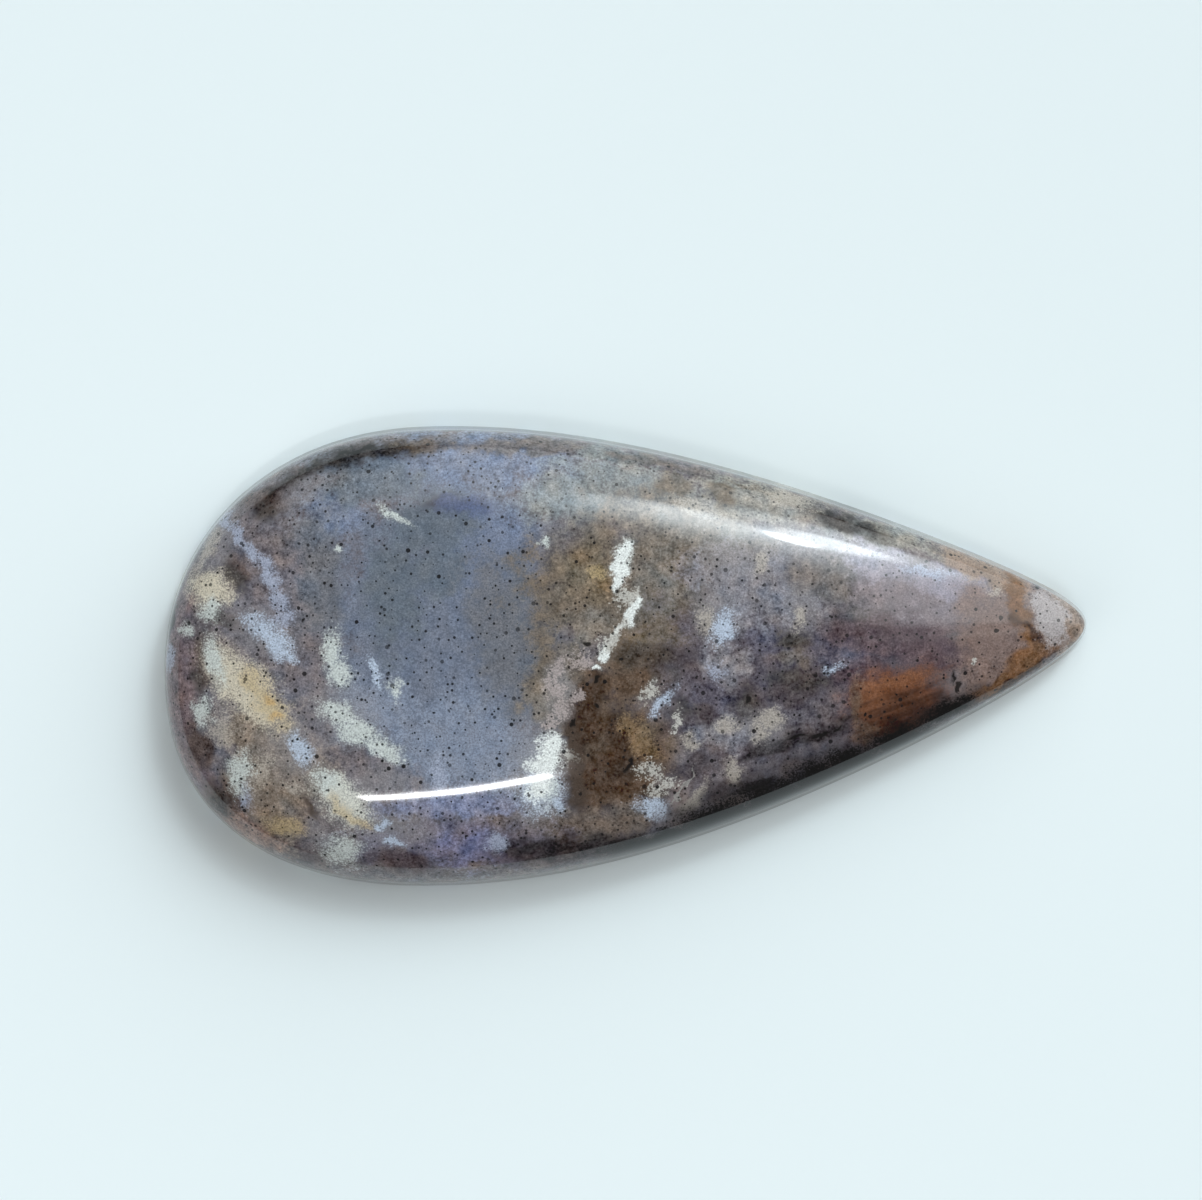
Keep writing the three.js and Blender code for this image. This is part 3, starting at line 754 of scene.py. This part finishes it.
def paint_grounds(tree, colour, place, noises):
    """The grounds over the colour, all frayed alike."""
    fray = blended(tree, noises, GROUND_FRAY)
    for name, shade, strength, patches in GROUNDS:
        cover = calc(tree, "ADD", ovals(tree, place, patches, reach=GROUND_REACH), fray)
        cover = calc(tree, "MULTIPLY", ramp(tree, cover, *GROUND_FADE), strength)
        colour = mix(tree, cover, colour, linear(*shade))
    return colour


def paint_minerals(tree, colour, minerals, place, noises):
    """The minerals, and the painted shade listed among them, over the colour, each with its own edge and
    fray.
    """
    for name, shade, (halo, low, high), fray, strength, patches in minerals:
        field = ovals(tree, place, patches)
        frayed = blended(tree, noises, fray, start=field)
        cover = calc(tree, "MULTIPLY", ramp(tree, frayed, low, high), (1 - halo) * strength)
        if halo:
            glow = ramp(tree, field, HALO_START, HALO_END)
            cover = calc(tree, "MULTIPLY_ADD", glow, halo * strength, cover)
        colour = mix(tree, cover, colour, linear(*shade))
    return colour


# %% Mottle
MOTTLE = {"clots": 0.22, "columns": 0.17, "grains": 0.20}  # share of the colour's lightness
FLECKS = {"clots": 0.0192, "grains": 0.016}  # lightness added, so that dark rock is mottled too
TINT = 0.08
CALM_FADE = (0.0, 0.5)
CALM_SHARE = 0.36  # share of the mottle that is left on the calm fields
LEAST_LIGHT = 0.15
DARKEST = (12, 11, 12)


def mottled(tree, colour, place, noises):
    """Lightens, darkens and tints the colour by noise, least on the calm fields."""
    calm = ramp(tree, ovals(tree, place, CALM), *CALM_FADE)
    lively = calc(tree, "MULTIPLY_ADD", calm, CALM_SHARE - 1, 1.0)
    flecks = calc(tree, "MULTIPLY", blended(tree, noises, FLECKS), lively)
    light = calc(tree, "MULTIPLY_ADD", blended(tree, noises, MOTTLE), lively, 1.0)
    light = calc(tree, "MAXIMUM", light, LEAST_LIGHT)
    tint = calc(tree, "MULTIPLY", calc(tree, "MULTIPLY", noises["tint"], lively), TINT)
    tint = joined(tree, calc(tree, "ADD", 1, tint), 1, calc(tree, "SUBTRACT", 1, tint))
    colour = vcalc(tree, "SCALE", vcalc(tree, "MULTIPLY", colour, tint), light)
    return vcalc(tree, "MAXIMUM", vcalc(tree, "ADD", colour, flecks), linear(*DARKEST)[:3])


# %% The stone's material
POWDER = 0.24
SPECKS = [(2.9, 0.095), (1.4, 0.15)]  # cells for each mm, and a speck's full radius in mm
SPECK_SHARE, SPECK_CROWDING = 0.75, 0.3  # share of cells with a speck, and how far it swings
SPECK_COLOUR, SPECK_STRENGTH = (12, 11, 13), 0.95
POLISH_FADE = (0.02, 0.3)  # mm above the back
ROUGH_BACK, POLISHED = 0.36, 0.06  # roughness
QUARTZ_IOR = 1.54


def stone_material():
    """The polished rock, with all its colours."""
    material = bpy.data.materials.new("Polished jasper")
    material.use_nodes = True
    tree = material.node_tree
    shader = tree.nodes["Principled BSDF"]
    solid, flat, height = rock_place(tree)
    noises = rock_noises(tree, solid)
    colour = paint_grounds(tree, linear(*BEDROCK), flat, noises)
    colour = paint_minerals(tree, colour, STAINS_AND_SHADE, flat, noises)
    colour = mottled(tree, colour, flat, noises)
    colour = paint_minerals(tree, colour, PALE + VEINS + BLACK_AND_SHADE, flat, noises)
    colour = vcalc(tree, "SCALE", colour, blended(tree, noises, {"powder": POWDER}, start=1.0))
    group = speck_group()
    share = blended(tree, noises, {"tint": SPECK_CROWDING}, start=SPECK_SHARE)
    fine, large = [specks(tree, group, solid, *sizes, share) for sizes in SPECKS]
    dots = calc(tree, "MULTIPLY", calc(tree, "MAXIMUM", fine, large), SPECK_STRENGTH)
    colour = mix(tree, dots, colour, linear(*SPECK_COLOUR))
    plug(tree, shader.inputs["Base Color"], colour)
    polish = ramp(tree, height, *POLISH_FADE)
    roughness = calc(tree, "MULTIPLY_ADD", polish, POLISHED - ROUGH_BACK, ROUGH_BACK)
    plug(tree, shader.inputs["Roughness"], roughness)
    shader.inputs["IOR"].default_value = QUARTZ_IOR
    print("stone material:", len(tree.nodes), "nodes")
    return material


# %% [markdown]
# ## The stone as a mesh
#
# A modifier's result is not a mesh that the export can carry, so the finished stone is read back
# from the evaluated object as a plain mesh, and the modifier is left behind. The new stone rides on
# the CAD model's body and stands for its one node.


# %% Make the stone
def make_stone():
    """The finished stone as a plain mesh, without the modifier that made it."""
    tree = stone_tree(stone_material())
    maker = bpy.data.objects.new("stone maker", bpy.data.meshes.new("empty"))
    bpy.context.scene.collection.objects.link(maker)
    modifier = maker.modifiers.new("Stone", "NODES")
    modifier.node_group = tree
    for item in tree.interface.items_tree:
        if item.in_out == "INPUT":
            modifier[item.identifier] = STONE_SIZES[item.name]
    evaluated = maker.evaluated_get(bpy.context.evaluated_depsgraph_get())
    mesh = bpy.data.meshes.new_from_object(evaluated)
    bpy.data.objects.remove(maker)
    mesh.name = "cabochon_stone"
    stone = bpy.data.objects.new("cabochon_stone", mesh)
    bpy.context.scene.collection.objects.link(stone)
    return stone


stone = make_stone()
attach(stone, "root")
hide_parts("cabochon")
print("stone mesh:", len(stone.data.vertices), "vertices,", len(stone.data.polygons), "faces")

# %% [markdown]
# ## Floor
#
# The stone lies on a plain, pale, matt floor. It only has to be wide enough to fill every view.

# %% Floor
FLOOR_HALF = 1.5  # metres
FLOOR_COLOUR = (229, 238, 240)


def make_floor():
    """Adds the floor and puts it on the stage."""
    corners = [(-FLOOR_HALF, -FLOOR_HALF, 0), (FLOOR_HALF, -FLOOR_HALF, 0),
               (FLOOR_HALF, FLOOR_HALF, 0), (-FLOOR_HALF, FLOOR_HALF, 0)]
    mesh = bpy.data.meshes.new("floor")
    mesh.from_pydata(corners, [], [(0, 1, 2, 3)])
    floor = bpy.data.objects.new("floor", mesh)
    bpy.context.scene.collection.objects.link(floor)
    material = bpy.data.materials.new("Pale matt floor")
    material.use_nodes = True
    tree = material.node_tree
    tree.nodes.remove(tree.nodes["Principled BSDF"])
    matt = tree.nodes.new("ShaderNodeBsdfDiffuse")
    matt.inputs["Color"].default_value = linear(*FLOOR_COLOUR)
    plug(tree, tree.nodes["Material Output"].inputs["Surface"], matt.outputs[0])
    mesh.materials.append(material)
    return floor


print("floor:", make_floor().name)

# %% [markdown]
# ## Light
#
# A polished dome is a mirror, so every light is also a shape that shows in it. Area lights have hard
# edges and would show as hard shapes, while daylight in a room fades softly. So the room is painted
# on the world: the direction of each ray is followed up to a ceiling one unit high, and soft ovals
# on that ceiling are the bright places. A pale half of the room lies on the +Y side and a window
# glows over the +X +Y corner, while the side above and behind the camera stays dim, which keeps the
# colours of the crown clear. One thin strip lamp on the -Y side draws the sharp line of light.

# %% The room
DIM = 0.15  # brightness of the dim part of the room, a white floor being 1
SKY = (0.97, 1.0, 1.0, 1)
GLASS = (0.90, 1.0, 1.04, 1)  # the colour of the brightest places
GLASS_FADE = (1.5, 3.5)  # brightness between which SKY turns into GLASS
FLATTEST = 0.05  # rays that rise less than this are followed as if they rose by it
HORIZON_FADE = (0.0, 0.12)
PALE_HALF = (1.3, (-0.5, 0.05), (0.33, 0.50))  # brightness, and where it fades in along x and y
PALE_CORNER = (1.8, (0.27, 0.36), (-0.02, 0.03))
GLOWS = [  # x and y on the ceiling, half length, half height, turn, brightness, share that is even
    (0.30, 0.46, 0.34, 0.26, 30, 3.0, 0.0),  # the glow around the window
    (0.65, 1.05, 0.85, 0.28, 60, 6.5, 0.1),  # the sky outside, high up
    (0.29, 0.60, 0.25, 0.21, 45, 7.0, 0.0),  # light that slides along the upper flank
    (0.29, 0.70, 0.14, 0.09, 60, 4.0, 0.0),  # and is strongest ahead of the window
    (0.50, 0.77, 0.28, 0.09, 60, 11.5, 0.4),  # the window's second pane
    (0.387, 0.605, 0.030, 0.075, -15, 42.0, 0.5),  # its brightest pane
]


def pale_part(tree, spot, brightness, x_fade, y_fade):
    """A bright part of the ceiling, to the +X +Y side of two soft borders."""
    x, y, _ = parts(tree, spot)
    part = calc(tree, "MULTIPLY", ramp(tree, x, *x_fade), ramp(tree, y, *y_fade))
    return calc(tree, "MULTIPLY", part, brightness)


def room():
    """Paints the room on the world."""
    world = bpy.data.worlds.new("Room with a window")
    world.use_nodes = True
    tree = world.node_tree
    direction = tree.nodes.new("ShaderNodeTexCoord").outputs["Generated"]
    rise = parts(tree, direction)[2]
    spot = calc(tree, "DIVIDE", 1, calc(tree, "MAXIMUM", rise, FLATTEST))
    spot = vcalc(tree, "MULTIPLY", vcalc(tree, "SCALE", direction, spot), (1, 1, 0))
    half, corner = pale_part(tree, spot, *PALE_HALF), pale_part(tree, spot, *PALE_CORNER)
    light = calc(tree, "MAXIMUM", half, corner)
    for x, y, length, height, turn, brightness, even in GLOWS:
        shape = ovals(tree, spot, [(x, y, length, height, turn)], reach=1)
        shape = calc(tree, "MULTIPLY", ramp(tree, shape, 0, 1 - even), brightness)
        light = calc(tree, "ADD", light, shape)
    light = calc(tree, "MULTIPLY_ADD", light, ramp(tree, rise, *HORIZON_FADE), DIM)
    background = tree.nodes["Background"]
    plug(tree, background.inputs["Color"], mix(tree, ramp(tree, light, *GLASS_FADE), SKY, GLASS))
    plug(tree, background.inputs["Strength"], light)
    bpy.context.scene.world = world
    return world


print("world:", room().name)


# %% Lamps
STRIP = {"centre": (-0.030, -0.165, 0.5), "size": (0.124, 0.012), "brightness": 60.0}
STRIP_TURN = 23  # degrees
FILL = {"centre": (-0.45, -0.30, 0.55), "size": (0.6, 0.6), "brightness": 1.2}


def lamp(name, centre, size, brightness):
    """A rectangular lamp that faces down. Its power follows from its area and its brightness."""
    light = bpy.data.lights.new(name, "AREA")
    light.shape = "RECTANGLE"
    light.size, light.size_y = size
    light.energy = brightness * math.pi * size[0] * size[1]
    holder = bpy.data.objects.new(name, light)
    holder.location = centre
    bpy.context.scene.collection.objects.link(holder)
    return holder


strip = lamp("strip", **STRIP)
strip.rotation_euler = (0, 0, math.radians(STRIP_TURN))

fill = lamp("fill", **FILL)
fill.rotation_euler = Vector(fill.location).to_track_quat("Z", "Y").to_euler()
fill.visible_glossy = False  # it lightens the shaded side but doesn't show in the polish
print("lamps:", strip.name, "and", fill.name)

# %% [markdown]
# ## Camera
#
# The camera looks straight down on the dome from 28 cm, turned so that the stone's axis rises a
# little to the right, as it is seen. The lens is chosen so that the view spans 65 mm.

# %% Camera
CAMERA_PLACE = Vector((-1.26, 2.81, 281)) * MM
VIEW_PLANE = 1.0 * MM  # the height at which the width of the view is measured
VIEW_WIDTH = 65.0 * MM
AXIS_RISE = 1.4  # degrees
SENSOR = 36  # millimetres, as is the lens
NEAREST = 10 * MM  # nothing nearer to the camera is drawn

camera_data = bpy.data.cameras.new("camera")
camera_data.sensor_width = SENSOR
camera_data.lens = SENSOR * (CAMERA_PLACE.z - VIEW_PLANE) / VIEW_WIDTH
camera_data.clip_start = NEAREST
camera = bpy.data.objects.new("camera", camera_data)
camera.location = CAMERA_PLACE
camera.rotation_euler = (0, 0, math.radians(-AXIS_RISE))
bpy.context.scene.collection.objects.link(camera)
bpy.context.scene.camera = camera
bpy.context.scene.view_settings.view_transform = "Standard"
print("lens", round(camera_data.lens, 1), "mm")
